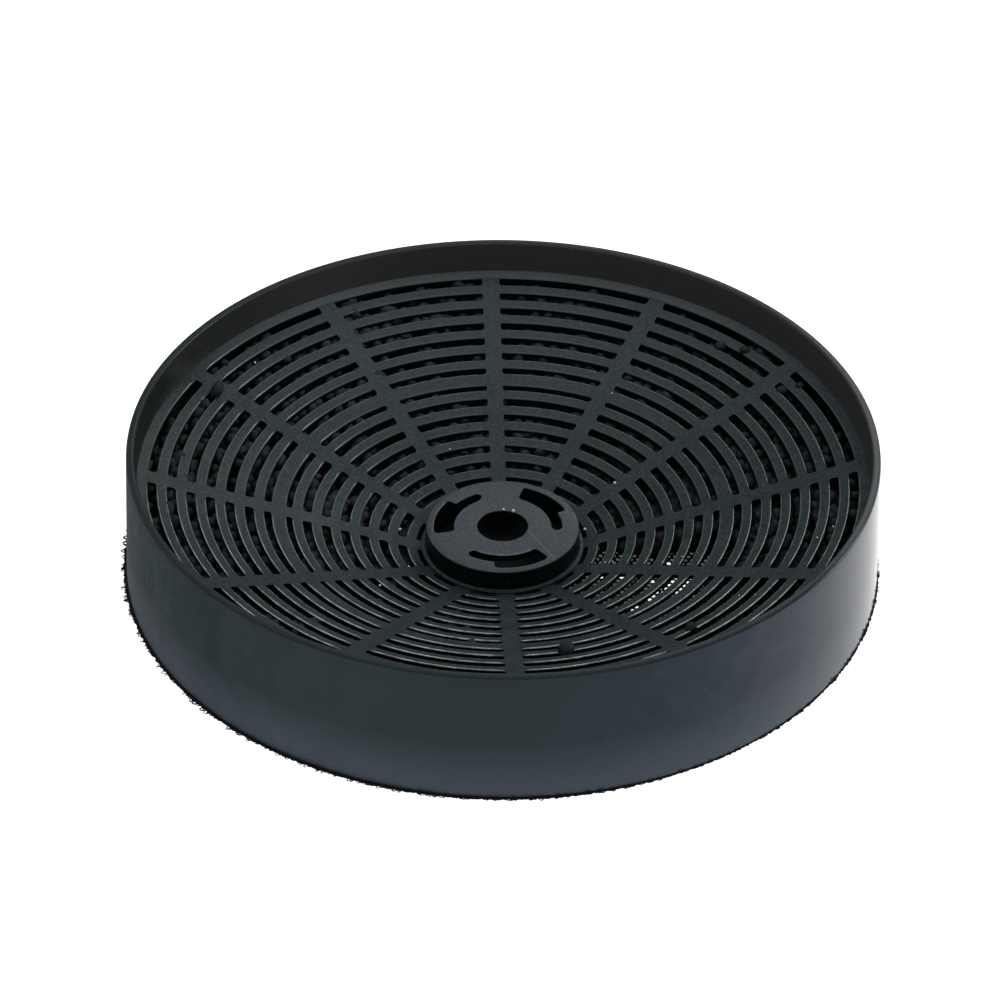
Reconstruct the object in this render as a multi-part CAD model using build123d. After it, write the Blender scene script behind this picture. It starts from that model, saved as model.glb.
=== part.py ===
from build123d import *
import math
import os

# Carbon filter for a cooker hood: a round plastic casing with a dished, slotted grille
# and a twist-lock hub, a bed of carbon granules under the grille, and a net across the foot.
# Millimetres. Origin at the middle of the underside, +Z up, rim at the top.

# Casing
rim_radius = 93.5
foot_flare = 1.5
overall_height = 35.0
rim_land_width = 2.1
rim_bevel = 0.4
inner_wall_draft = 0.2
wall_thickness = 1.9
dish_depth_at_wall = 8.6

# Grille, a straight cone that falls from the inner wall to the hub
dish_height_at_hub = 2.55
grille_thickness = 1.4
grille_margin = 2.5
slot_width = 2.25
slot_pitch = 4.78
slot_least_width = 1.0
spokes = 12
spoke_width_at_hub = 3.1
spoke_width_at_wall = 4.1
spoke_turn = 2.6
band_inner_radius = 54.55
band_width = 3.6

# Hub, a raised cup with a bore and keyholes for the lugs of the motor housing
hub_radius = 19.45
hub_rise = 6.3
hub_top_thickness = 2.0
hub_wall_thickness = 1.6
hub_bevel = 0.3
hub_flange_width = 1.15
hub_flange_height = 0.4
bore_radius = 6.35
keyholes = 3
keyhole_inner_radius = 12.3
keyhole_narrow_width = 2.8
keyhole_wide_width = 5.1
keyhole_narrow_end = -7.5
keyhole_step = 22.0
keyhole_wide_end = 73.0
keyhole_end_round = 1.2

# Net welded across the foot: thin cloth, ridges where its heavy threads run, and gaps
net_thickness = 0.6
net_cloth_thickness = 0.35
net_overhang = 0.9
net_weld_width = 3.0
thread_spacing = 20.0
thread_width = 0.9
net_gap_size = 3.4
net_gap_pitch = 20.0

# Bed of granules, with the hollow where the fill has settled away beside the hub
fill_clearance = 0.3
fill_gap_at_hub = 1.0
hollow_start = 306.0
hollow_end = 358.0
hollow_foot_radius = 51.0
hollow_top_radius = 82.0

# Sizes that follow from the ones above
foot_radius = rim_radius + foot_flare
rim_inner_radius = rim_radius - rim_land_width
dish_radius = rim_inner_radius - inner_wall_draft
grille_outer_radius = dish_radius - grille_margin
hub_flange_radius = hub_radius + hub_flange_width
hub_inner_radius = hub_radius - hub_wall_thickness
band_outer_radius = band_inner_radius + band_width
spoke_step = 360.0 / spokes
dish_height_at_wall = overall_height - dish_depth_at_wall
dish_slope = (dish_height_at_wall - dish_height_at_hub) / (dish_radius - hub_flange_radius)


def dish_height(radius):
    """Height of the grille's upper face at a radius."""
    return dish_height_at_wall - dish_slope * (dish_radius - radius)


def under_grille(radius):
    """Height of the grille's lower face at a radius."""
    return dish_height(radius) - grille_thickness


def outer_wall_radius(height):
    """The side wall flares from the rim down to the foot."""
    share = (height - net_thickness) / (overall_height - net_thickness)
    return foot_radius + (rim_radius - foot_radius) * share


hub_top = dish_height(hub_radius) + hub_rise


def polar(radius, angle):
    turn = math.radians(angle)
    return (radius * math.cos(turn), radius * math.sin(turn))


def section(points):
    """A closed outline of (radius, height) points, standing on the XZ plane."""
    return make_face(Polyline([(r, 0, z) for r, z in points], close=True))


def turned(face):
    return revolve(face, Axis.Z, 360)


def ring(inner, outer):
    return Circle(outer) - Circle(inner)


def arc_band(inner, outer, start, end):
    """A flat ring cut to an arc of less than 180 degrees."""
    reach = 2 * outer
    middle = (start + end) / 2
    corners = [(0, 0), polar(reach, start), polar(reach, middle), polar(reach, end)]
    return ring(inner, outer) & make_face(Polyline(corners, close=True))


def casing_section():
    """Wall, rim, grille and hub as one closed outline, still without slots or holes."""
    flange_top = dish_height(hub_flange_radius) + hub_flange_height
    ceiling = hub_top - hub_top_thickness
    wall_foot = under_grille(dish_radius)
    wall_inside = outer_wall_radius(wall_foot) - wall_thickness
    points = [
        (foot_radius, net_thickness),
        (outer_wall_radius(overall_height - rim_bevel), overall_height - rim_bevel),
        (rim_radius - rim_bevel, overall_height),
        (rim_inner_radius + rim_bevel, overall_height),
        (rim_inner_radius, overall_height - rim_bevel),
        (dish_radius, dish_height(dish_radius)),
        (hub_flange_radius, dish_height(hub_flange_radius)),
        (hub_flange_radius, flange_top),
        (hub_radius, flange_top),
        (hub_radius, hub_top - hub_bevel),
        (hub_radius - hub_bevel, hub_top),
        (bore_radius, hub_top),
        (bore_radius, ceiling),
        (hub_inner_radius, ceiling),
        (hub_inner_radius, net_thickness),
        (hub_flange_radius, net_thickness),
        (hub_flange_radius, under_grille(hub_flange_radius)),
        (dish_radius, wall_foot),
        (wall_inside, wall_foot),
        (foot_radius - wall_thickness, net_thickness),
    ]
    return section(points)


def clear_of(solid_rings, inner, outer):
    """The part of a slot's radial span that the solid rings leave open."""
    for ring_inner, ring_outer in solid_rings:
        if ring_inner <= inner < ring_outer:
            inner = ring_outer
        if ring_inner < outer <= ring_outer:
            outer = ring_inner
    return inner, outer


def slot_spans():
    """Inner and outer radius of each ring of slots, from the wall to the hub."""
    solid_rings = [(0, hub_flange_radius), (band_inner_radius, band_outer_radius)]
    spans = []
    outer = grille_outer_radius
    while outer > hub_flange_radius:
        span = clear_of(solid_rings, outer - slot_width, outer)
        if span[1] - span[0] >= slot_least_width:
            spans.append(span)
        outer -= slot_pitch
    return spans


def slot_outline(inner, outer):
    """One slot between two spokes, which widen from the hub to the wall."""
    middle = (inner + outer) / 2
    share = (middle - hub_flange_radius) / (dish_radius - hub_flange_radius)
    spoke_width = spoke_width_at_hub + (spoke_width_at_wall - spoke_width_at_hub) * share
    half_spoke = math.degrees(math.asin(spoke_width / 2 / middle))
    start = spoke_turn + half_spoke
    end = spoke_turn + spoke_step - half_spoke
    return arc_band(inner, outer, start, end)


def slots():
    sector = [extrude(slot_outline(inner, outer), amount=overall_height) for inner, outer in slot_spans()]
    return [place * slot for place in PolarLocations(0, spokes) for slot in sector]


def keyhole():
    """A narrow curved slot that opens at one end into a wide entry for the lug."""
    narrow_outer = keyhole_inner_radius + keyhole_narrow_width
    wide_outer = keyhole_inner_radius + keyhole_wide_width
    narrow = arc_band(keyhole_inner_radius, narrow_outer, keyhole_narrow_end, keyhole_step)
    ends = [polar(keyhole_inner_radius, keyhole_narrow_end), polar(narrow_outer, keyhole_narrow_end)]
    corners = [min(narrow.vertices(), key=lambda v: abs(v.X - x) + abs(v.Y - y)) for x, y in ends]
    narrow = fillet(corners, keyhole_end_round)
    wide = arc_band(keyhole_inner_radius, wide_outer, keyhole_step, keyhole_wide_end)
    return narrow + wide


def make_casing():
    body = turned(casing_section())
    body -= slots()
    ceiling = hub_top - hub_top_thickness
    hole = Pos(0, 0, ceiling) * extrude(keyhole(), amount=overall_height)
    body -= [place * hole for place in PolarLocations(0, keyholes)]
    return body


def hollow():
    """Pit in the fill beside the hub: an arc whose outer side slopes down to the net."""
    inner = hub_inner_radius
    points = [
        (inner, net_thickness),
        (hollow_foot_radius, net_thickness),
        (hollow_top_radius, overall_height),
        (inner, overall_height),
    ]
    arc = revolve(section(points), Axis.Z, hollow_end - hollow_start)
    return Rot(0, 0, hollow_start) * arc


def make_carbon_bed():
    """The fill rests on the net and stays a little below the grille."""
    inner = hub_flange_radius + fill_gap_at_hub
    top_at_wall = under_grille(dish_radius) - fill_clearance
    outer = outer_wall_radius(top_at_wall) - wall_thickness - fill_clearance
    points = [
        (inner, net_thickness),
        (outer, net_thickness),
        (outer, top_at_wall),
        (dish_radius, top_at_wall),
        (inner, under_grille(inner) - fill_clearance),
    ]
    return turned(section(points)) - hollow()


def rows(pitch, reach):
    """Evenly spaced offsets on both sides of the middle."""
    half = int(reach / pitch)
    return [pitch * i for i in range(-half, half + 1)]


def threads(field):
    """Parallel ridges under the cloth, cut to the net's round field."""
    places = [offset + thread_spacing / 2 for offset in rows(thread_spacing, foot_radius)]
    bars = [Pos(0, place, 0) * Rectangle(2 * foot_radius, thread_width) for place in places]
    return [bar & field for bar in bars if abs(bar.center().Y) < foot_radius - net_weld_width]


def gap_places():
    """A square grid of gaps between the ridges, clear of the welds at the wall and hub."""
    half_diagonal = net_gap_size * math.sqrt(0.5)
    nearest = hub_flange_radius + half_diagonal
    farthest = foot_radius - net_weld_width - half_diagonal
    inside_hub = hub_inner_radius - half_diagonal
    places = []
    for x in rows(net_gap_pitch, foot_radius):
        for y in rows(thread_spacing, foot_radius):
            distance = math.hypot(x, y)
            if nearest < distance < farthest or distance < inside_hub:
                places.append((x, y))
    return places


def make_base_net():
    edge_radius = foot_radius + net_overhang
    field = Circle(foot_radius - net_weld_width / 2)
    ridge_height = net_thickness - net_cloth_thickness
    cloth = Pos(0, 0, ridge_height) * extrude(Circle(edge_radius), amount=net_cloth_thickness)
    rim_weld = extrude(ring(foot_radius - net_weld_width, edge_radius), amount=ridge_height)
    net = cloth + rim_weld
    net += [extrude(ridge, amount=ridge_height) for ridge in threads(field)]
    gap = extrude(Rectangle(net_gap_size, net_gap_size), amount=net_thickness)
    net -= [Pos(x, y, 0) * gap for x, y in gap_places()]
    return net


os.makedirs("parts", exist_ok=True)
pieces = {
    "casing": make_casing(),
    "carbon_bed": make_carbon_bed(),
    "base_net": make_base_net(),
}
for name, piece in pieces.items():
    export_step(piece, f"parts/{name}.step")
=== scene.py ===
import math
import random
from types import SimpleNamespace

import bpy
from mathutils import Euler, Matrix, Vector, noise


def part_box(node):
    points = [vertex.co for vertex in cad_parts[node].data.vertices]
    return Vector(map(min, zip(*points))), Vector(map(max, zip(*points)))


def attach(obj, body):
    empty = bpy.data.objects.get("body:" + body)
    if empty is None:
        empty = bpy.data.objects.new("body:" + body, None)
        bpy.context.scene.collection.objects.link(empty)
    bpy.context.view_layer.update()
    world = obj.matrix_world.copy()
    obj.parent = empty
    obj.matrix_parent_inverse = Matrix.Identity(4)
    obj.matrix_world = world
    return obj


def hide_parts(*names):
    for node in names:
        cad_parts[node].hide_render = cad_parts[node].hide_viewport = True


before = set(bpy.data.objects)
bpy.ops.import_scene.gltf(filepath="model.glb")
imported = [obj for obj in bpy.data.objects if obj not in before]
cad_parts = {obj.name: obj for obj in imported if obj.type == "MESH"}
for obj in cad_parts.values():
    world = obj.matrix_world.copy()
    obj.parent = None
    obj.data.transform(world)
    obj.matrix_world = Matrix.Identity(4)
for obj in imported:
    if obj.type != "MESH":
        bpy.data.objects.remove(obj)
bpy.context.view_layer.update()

# A cooker hood carbon filter on a white table, in metres. The overall sizes come from the frame.
casing_low, casing_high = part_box("casing")
net_low, net_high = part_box("base_net")
FOOT_RADIUS = (casing_high[0] - casing_low[0]) / 2
HEIGHT = casing_high[2]
FOOT_Z = net_high[2]
NET_RADIUS = (net_high[0] - net_low[0]) / 2

# Casing
RIM_RADIUS = 0.0935
RIM_LAND = 0.0021
RIM_ROUND = 0.0006
WALL = 0.0019
WALL_LEVELS = 12
INNER_DRAFT = 0.00006
INNER_DRAFT_HEIGHT = 0.003
DISH_RADIUS = 0.0912
DISH_DEPTH = 0.0086
DISH_AT_HUB = 0.00255
GRILLE_THICKNESS = 0.0014
SECTORS = 12
SPOKE_TURN = 2.6
SPOKE_AT_HUB = 0.0031
SPOKE_AT_WALL = 0.0041
SLOT_PITCH = 0.00478
SLOT_WIDTH = 0.00225
SLOT_MARGIN = 0.0025
SLOT_CORNER = 0.0005
SLOT_STEPS = 16
BAND_INNER = 0.05455
BAND_OUTER = 0.05815
ARRIS = 0.00028

# Rounded edges: how far the middle is drawn in, and where the rows of a corner lie, as shares
DRAWN_MIDDLE = 0.29
CORNER_STEPS = (0.0, 0.13, 0.5, 1.0)

# Hub
HUB_RADIUS = 0.01945
HUB_FLANGE = 0.0206
HUB_FLANGE_HEIGHT = 0.0004
HUB_RISE = 0.0063
HUB_PLATE = 0.0020
HUB_WALL = 0.0016
HUB_ROUND = 0.0004
HUB_FILLET = 0.0003
HUB_TUCK = 0.0006
HUB_FLANGE_BEVEL = 0.0001
BORE = 0.00635
KEYHOLES = 3
KEY_INNER = 0.0123
KEY_NARROW = 0.0151
KEY_WIDE = 0.0174
KEY_START = -7.5
KEY_STEP = 22.0
KEY_END = 73.0
KEY_NARROW_ROUND = 0.0012
KEY_WIDE_ROUND = 0.0008
FLOW_LINE_TURN = math.radians(29.6)
FLOW_LINE_OFFSET = 0.0047
HUB_NARROW_STEPS = 8
HUB_WIDE_STEPS = 14
HUB_LAND_STEPS = 10

DISH_SLOPE = (HEIGHT - DISH_DEPTH - DISH_AT_HUB) / (DISH_RADIUS - HUB_FLANGE)

# Granules
GRANULE = 0.0042
GRANULE_SEED = 11
CRUMB = 0.0009
TOP_SPACING = GRANULE * 0.90
SECOND_SPACING = GRANULE * 0.95
SECOND_DEPTH = 0.0045
SECOND_INNER = 0.034
BOTTOM_SPACING = GRANULE * 0.93
BOTTOM_INNER = 0.030
BED_INNER = HUB_FLANGE + 0.0016
BED_MARGIN = 0.0022
ROW_SHARE = 0.87
SHAKE = 0.3
LUMP_SWELL = (0.22, 0.40)
LUMP_DENTS = 0.08

# How high the fill stands, from 0 to 1: its mean, its lean to the back left and its waves
FILL_MEAN = 0.6
FILL_LEAN = 0.45
FILL_WAVES = 0.8

# The hollow where granules have settled away, and the bank round it
HOLLOW_START = 306.0
HOLLOW_END = 358.0
HOLLOW_FOOT = 0.051
HOLLOW_SLOPE = 0.9
HOLLOW_RAGGED = 0.0015
BANK_GRANULES = 900
BANK_SIDE_GRANULES = 500
BANK_TOP = 0.0145
FILM_SIDE = 8.0
FILM_REACH = 0.006

# The dark inside of the heap: its inner radius at the foot and at the top
CORE_STEPS = 72
CORE_MARGIN = 0.0035
CORE_SIDE = 4.0
CORE_INNER = (HUB_FLANGE + 0.003, 0.045)
CORE_INNER_AT_HOLLOW = (HOLLOW_FOOT + 0.018, 0.078)

# Net
NET_Z = FOOT_Z - 0.0002
NET_PITCH = 0.00172
NET_THREAD = 0.00062
NET_WELD = 0.0923
NET_CLOSED = 0.030
EDGE_BAND = 0.09525
EDGE_SWELL = 0.00040
EDGE_RAG = 0.0003
EDGE_WAVE = 0.00022
EDGE_STEPS = 1500
FRINGE_TRIES = 700

# Light
TABLE_GLOW = 1.15
TABLE_REACH = 6.0
SKY_STOPS = [(0.0, 0.28), (0.3, 0.22), (0.6, 0.3), (0.88, 1.0), (1.0, 1.1)]
LIGHT_TARGET = (0, 0, 0.02)

# Camera, solved from the rim, foot and bore in the photograph
CAMERA_ELEVATION = 36.34
CAMERA_ROLL = -0.689
CAMERA_DISTANCE = 0.9030
CAMERA_TARGET = Vector((-0.00074, 0, 0.0165))
CAMERA_FOCAL = 3.592
SENSOR = 36


def dish_z(radius):
    """Height of the grille's upper face."""
    return HEIGHT - DISH_DEPTH - DISH_SLOPE * (DISH_RADIUS - radius)


def under_z(radius):
    return dish_z(radius) - GRILLE_THICKNESS


def outer_wall(z):
    return FOOT_RADIUS + (RIM_RADIUS - FOOT_RADIUS) * (z - FOOT_Z) / (HEIGHT - FOOT_Z)


def polar(radius, degrees, z=0.0):
    turn = math.radians(degrees)
    return Vector((radius * math.cos(turn), radius * math.sin(turn), z))


def new_object(name, vertices, faces, material, smooth=True):
    mesh = bpy.data.meshes.new(name)
    mesh.from_pydata(vertices, [], faces)
    mesh.polygons.foreach_set("use_smooth", [smooth] * len(mesh.polygons))
    mesh.materials.append(material)
    obj = bpy.data.objects.new(name, mesh)
    bpy.context.scene.collection.objects.link(obj)
    return obj


# Turned and pierced shells

class Shell:
    """A closed shell of rows of points that run round the axis, joined row by row."""

    def __init__(self, columns):
        self.columns = columns
        self.vertices = []
        self.faces = []
        self.arrises = []

    def row(self, radius, z, angles):
        self.vertices += [polar(radius, angle, z) for angle in angles]
        return len(self.vertices) - self.columns

    def join(self, row_a, row_b, opened=()):
        for i in range(self.columns):
            if i not in opened:
                j = (i + 1) % self.columns
                self.faces.append((row_a + i, row_a + j, row_b + j, row_b + i))

    def pierced_plate(self, rows, opened, height, thickness):
        """An upper and a lower sheet with holes. rows are (radius, angles), opened holds the
        (row, column) cells that are holes. Returns both lists of rows."""
        upper = [self.row(radius, height(radius), angles) for radius, angles in rows]
        lower = [self.row(radius, height(radius) - thickness, angles) for radius, angles in rows]
        rims = []
        for k in range(len(rows) - 1):
            here = {i for i in range(self.columns) if (k, i) in opened}
            self.join(upper[k], upper[k + 1], here)
            self.join(lower[k + 1], lower[k], here)
            for i in here:
                j = (i + 1) % self.columns
                if (k - 1, i) not in opened:
                    rims.append((upper[k] + i, upper[k] + j, lower[k] + i, lower[k] + j))
                if (k + 1, i) not in opened:
                    rims.append((upper[k + 1] + j, upper[k + 1] + i, lower[k + 1] + j, lower[k + 1] + i))
                if (k, (i - 1) % self.columns) not in opened:
                    rims.append((upper[k] + i, upper[k + 1] + i, lower[k] + i, lower[k + 1] + i))
                if (k, j) not in opened:
                    rims.append((upper[k + 1] + j, upper[k] + j, lower[k + 1] + j, lower[k] + j))
        self.wall_holes(rims, height)
        return upper, lower

    def wall_holes(self, rims, height):
        """Walls of the holes, with a rounded arris at the upper face."""
        away = {}
        for a, b, *_ in rims:
            run = self.vertices[b] - self.vertices[a]
            side = Vector((run.y, -run.x, 0)).normalized()
            for v in (a, b):
                away[v] = away.get(v, Vector()) + side
        wall, middle = {}, {}
        for v, side in away.items():
            point = self.vertices[v]
            side = side.normalized()
            wall[v] = self.add(point - Vector((0, 0, ARRIS)))
            middle[v] = self.add(point + (side - Vector((0, 0, 1))) * DRAWN_MIDDLE * ARRIS)
            moved = point + side * ARRIS
            self.vertices[v] = Vector((moved.x, moved.y, height(math.hypot(moved.x, moved.y))))
        for a, b, low_a, low_b in rims:
            self.faces.append((low_a, low_b, wall[b], wall[a]))
            self.arrises += [len(self.faces), len(self.faces) + 1]
            self.faces.append((wall[a], wall[b], middle[b], middle[a]))
            self.faces.append((middle[a], middle[b], b, a))

    def add(self, point):
        self.vertices.append(point)
        return len(self.vertices) - 1


def drawn_in(distance, round_radius):
    """How far a rounded corner has drawn the end in, at a distance from the hole's side."""
    if distance >= round_radius:
        return 0.0
    return round_radius - math.sqrt(round_radius ** 2 - (round_radius - distance) ** 2)


def slot_spans():
    """Inner and outer radius of every ring of slots, from the wall to the hub."""
    spans = []
    outer = DISH_RADIUS - SLOT_MARGIN
    while outer > HUB_FLANGE:
        low = max(outer - SLOT_WIDTH, HUB_FLANGE)
        high = outer
        if BAND_INNER <= low < BAND_OUTER:
            low = BAND_OUTER
        if BAND_INNER < high <= BAND_OUTER:
            high = BAND_INNER
        if high - low > 0.001:
            spans.append((low, high))
        outer -= SLOT_PITCH
    return spans


def spoke_half_angle(radius):
    share = (radius - HUB_FLANGE) / (DISH_RADIUS - HUB_FLANGE)
    width = SPOKE_AT_HUB + (SPOKE_AT_WALL - SPOKE_AT_HUB) * share
    return math.degrees(math.asin(width / 2 / radius))


def grille_angles(radius, shift=0.0):
    """Columns of every sector: the spoke's middle, then evenly across the slot."""
    step = 360.0 / SECTORS
    start = spoke_half_angle(radius) + math.degrees(shift / radius)
    reach = step - 2 * start
    sector = [0.0] + [start + reach * i / SLOT_STEPS for i in range(SLOT_STEPS + 1)]
    return [SPOKE_TURN + step * s + a for s in range(SECTORS) for a in sector]


def grille_rows():
    """Rows of the dish from the wall inward, and the cells that are slots."""
    per_sector = SLOT_STEPS + 2
    rows = []
    opened = set()

    def add(radius, shift=0.0):
        rows.append((radius, grille_angles(radius, shift)))

    add(DISH_RADIUS)
    for low, high in slot_spans():
        corner = min(SLOT_CORNER, (high - low) / 2.05)
        first = len(rows)
        for share in CORNER_STEPS:
            add(high - corner * share, drawn_in(corner * share, corner))
        for share in reversed(CORNER_STEPS):
            add(low + corner * share, drawn_in(corner * share, corner))
        for k in range(first, len(rows) - 1):
            for s in range(SECTORS):
                opened |= {(k, s * per_sector + i) for i in range(1, SLOT_STEPS + 1)}
    add(HUB_FLANGE - HUB_TUCK)
    return rows, opened


def quarter(radius, z, size, start):
    """Points of a rounded edge in the radius and height plane."""
    points = []
    for step in range(4):
        turn = math.radians(start - 30 * step)
        points.append((radius + size * math.cos(turn), z + size * math.sin(turn)))
    return points


def make_grille_shell():
    shell = Shell(SECTORS * (SLOT_STEPS + 2))
    rows, opened = grille_rows()
    upper, lower = shell.pierced_plate(rows, opened, dish_z, GRILLE_THICKNESS)
    shell.join(upper[-1], lower[-1])
    rim_inner = RIM_RADIUS - RIM_LAND
    centre = HEIGHT - RIM_ROUND
    profile = [(DISH_RADIUS + INNER_DRAFT, dish_z(DISH_RADIUS) + INNER_DRAFT_HEIGHT)]
    profile += quarter(rim_inner + RIM_ROUND, centre, RIM_ROUND, 180)
    profile += quarter(RIM_RADIUS - RIM_ROUND, centre, RIM_ROUND, 90)
    for i in range(1, WALL_LEVELS + 1):
        z = centre - (centre - FOOT_Z) * i / WALL_LEVELS
        profile.append((outer_wall(z), z))
    wall_foot = under_z(DISH_RADIUS)
    profile.append((FOOT_RADIUS - WALL, FOOT_Z))
    profile.append((outer_wall(wall_foot) - WALL, wall_foot))
    angles = grille_angles(DISH_RADIUS)
    previous = upper[0]
    for radius, z in profile:
        here = shell.row(radius, z, angles)
        shell.join(here, previous)
        previous = here
    shell.join(lower[0], previous)
    return shell


def hub_angles(start_shift=0.0, step_shift=0.0, end_shift=0.0):
    """Columns of the hub: along the narrow slot, the wide entry and the land between keyholes."""
    start = KEY_START + start_shift
    step = KEY_STEP + step_shift
    end = KEY_END - end_shift
    after = start + 360.0 / KEYHOLES
    third = [start + (step - start) * i / HUB_NARROW_STEPS for i in range(HUB_NARROW_STEPS)]
    third += [step + (end - step) * i / HUB_WIDE_STEPS for i in range(HUB_WIDE_STEPS)]
    third += [end + (after - end) * i / HUB_LAND_STEPS for i in range(HUB_LAND_STEPS)]
    return [360.0 / KEYHOLES * k + a for k in range(KEYHOLES) for a in third]


def hub_rows():
    """Rows of the hub's top plate from its edge to the bore, and the cells that are keyholes."""
    per_third = HUB_NARROW_STEPS + HUB_WIDE_STEPS + HUB_LAND_STEPS
    rows = []
    opened = set()

    def add(radius, start=0.0, step=0.0, end=0.0):
        shifts = [math.degrees(s / radius) for s in (start, step, end)]
        rows.append((radius, hub_angles(*shifts)))

    add(HUB_RADIUS - HUB_ROUND)
    wide_first = len(rows)
    for share in CORNER_STEPS:
        shift = drawn_in(KEY_WIDE_ROUND * share, KEY_WIDE_ROUND)
        add(KEY_WIDE - KEY_WIDE_ROUND * share, 0.0, shift, shift)
    narrow_first = len(rows)
    for share in CORNER_STEPS:
        add(KEY_NARROW - KEY_NARROW_ROUND * share, drawn_in(KEY_NARROW_ROUND * share, KEY_NARROW_ROUND))
    for share in reversed(CORNER_STEPS):
        add(KEY_INNER + KEY_NARROW_ROUND * share, drawn_in(KEY_NARROW_ROUND * share, KEY_NARROW_ROUND),
            0.0, drawn_in(KEY_NARROW_ROUND * share, KEY_WIDE_ROUND))
    last = len(rows) - 1
    add((KEY_INNER + BORE) / 2)
    add(BORE + ARRIS)
    for k in range(wide_first, last):
        for third in range(KEYHOLES):
            base = third * per_third
            first_column = 0 if k >= narrow_first else HUB_NARROW_STEPS
            opened |= {(k, base + i) for i in range(first_column, HUB_NARROW_STEPS + HUB_WIDE_STEPS)}
    return rows, opened


def make_hub_shell():
    top = dish_z(HUB_RADIUS) + HUB_RISE
    low = top - HUB_PLATE
    shell = Shell(KEYHOLES * (HUB_NARROW_STEPS + HUB_WIDE_STEPS + HUB_LAND_STEPS))
    rows, opened = hub_rows()
    upper, lower = shell.pierced_plate(rows, opened, lambda radius: top, HUB_PLATE)
    angles = hub_angles()
    previous = upper[-1]
    bore_drawn = DRAWN_MIDDLE * ARRIS
    for radius, z in ((BORE + bore_drawn, top - bore_drawn), (BORE, top - ARRIS), (BORE, low)):
        here = shell.row(radius, z, angles)
        shell.join(previous, here)
        previous = here
    shell.join(previous, lower[-1])
    flange_top = dish_z(HUB_FLANGE) + HUB_FLANGE_HEIGHT
    edge_drawn = DRAWN_MIDDLE * HUB_ROUND
    profile = [
        (HUB_RADIUS - edge_drawn, top - edge_drawn),
        (HUB_RADIUS, top - HUB_ROUND),
        (HUB_RADIUS, flange_top + HUB_FILLET),
        (HUB_RADIUS + HUB_FILLET, flange_top),
        (HUB_FLANGE - HUB_FLANGE_BEVEL, flange_top),
        (HUB_FLANGE, flange_top - HUB_FLANGE_BEVEL),
        (HUB_FLANGE, FOOT_Z),
        (HUB_RADIUS - HUB_WALL, FOOT_Z),
        (HUB_RADIUS - HUB_WALL, low),
    ]
    previous = upper[0]
    for radius, z in profile:
        here = shell.row(radius, z, angles)
        shell.join(here, previous)
        previous = here
    shell.join(lower[0], previous)
    return shell


def make_casing(material, highlighted_arris):
    grille = make_grille_shell()
    hub = make_hub_shell()
    offset = len(grille.vertices)
    vertices = grille.vertices + hub.vertices
    faces = grille.faces + [tuple(offset + v for v in f) for f in hub.faces]
    casing = new_object("casing_moulding", vertices, faces, material)
    # Second slot: the painted highlight on the arrises
    casing.data.materials.append(highlighted_arris)
    for index in grille.arrises + [len(grille.faces) + i for i in hub.arrises]:
        casing.data.polygons[index].material_index = 1
    casing.data.set_sharp_from_angle(angle=math.radians(50))
    casing.modifiers.new("flat faces stay flat", "WEIGHTED_NORMAL").keep_sharp = True
    return casing


# Granules

def in_hollow(point):
    angle = math.degrees(math.atan2(point.y, point.x)) % 360
    if not HOLLOW_START < angle < HOLLOW_END:
        return False
    reach = HOLLOW_FOOT + (point.z - FOOT_Z) * HOLLOW_SLOPE
    reach += HOLLOW_RAGGED * noise.noise(point * 400)
    return math.hypot(point.x, point.y) < reach


def beside_hollow(angle, side):
    """Whether an angle lies in the hollow's arc, widened at both ends by some degrees."""
    return (angle - HOLLOW_START + side) % 360 < HOLLOW_END - HOLLOW_START + 2 * side


LUMP_POINTS = [Vector(p).normalized() for p in (
    (0, 0, 1), (0.9, 0, 0.45), (0.28, 0.85, 0.45), (-0.72, 0.53, 0.45), (-0.72, -0.53, 0.45),
    (0.28, -0.85, 0.45), (0.72, 0.53, -0.45), (-0.28, 0.85, -0.45), (-0.9, 0, -0.45),
    (-0.28, -0.85, -0.45), (0.72, -0.53, -0.45), (0, 0, -1))]
LUMP_FACES = [
    (0, 1, 2), (0, 2, 3), (0, 3, 4), (0, 4, 5), (0, 5, 1), (1, 6, 2), (2, 7, 3), (3, 8, 4), (4, 9, 5),
    (5, 10, 1), (6, 7, 2), (7, 8, 3), (8, 9, 4), (9, 10, 5), (10, 6, 1), (11, 7, 6), (11, 8, 7),
    (11, 9, 8), (11, 10, 9), (11, 6, 10)]


def split_faces(points, faces):
    """Each triangle in four, for lumps with more detail."""
    points = list(points)
    middles = {}

    def middle(a, b):
        key = (min(a, b), max(a, b))
        if key not in middles:
            middles[key] = len(points)
            points.append(((points[a] + points[b]) / 2).normalized())
        return middles[key]

    finer = []
    for a, b, c in faces:
        ab, bc, ca = middle(a, b), middle(b, c), middle(c, a)
        finer += [(a, ab, ca), (b, bc, ab), (c, ca, bc), (ab, bc, ca)]
    return points, finer


FINE_POINTS, FINE_FACES = split_faces(LUMP_POINTS, LUMP_FACES)


def lump(rng, centre, size, fine):
    """One granule: a ball pushed about, stretched and turned at random."""
    points, faces = (FINE_POINTS, FINE_FACES) if fine else (LUMP_POINTS, LUMP_FACES)
    turn = Euler([rng.uniform(0, 6.28) for _ in range(3)]).to_matrix()
    stretch = Vector((rng.uniform(0.8, 1.2), rng.uniform(0.8, 1.2), rng.uniform(0.7, 1.0)))
    place = Vector([rng.uniform(-50, 50) for _ in range(3)])
    rough = rng.uniform(*LUMP_SWELL)
    shaped = []
    for p in points:
        swell = 1 + rough * noise.noise(p * 1.1 + place) + LUMP_DENTS * noise.noise(p * 3.1 + place)
        shaped.append(centre + turn @ Vector(a * b * swell * size / 2 for a, b in zip(p, stretch)))
    return shaped, faces


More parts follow.
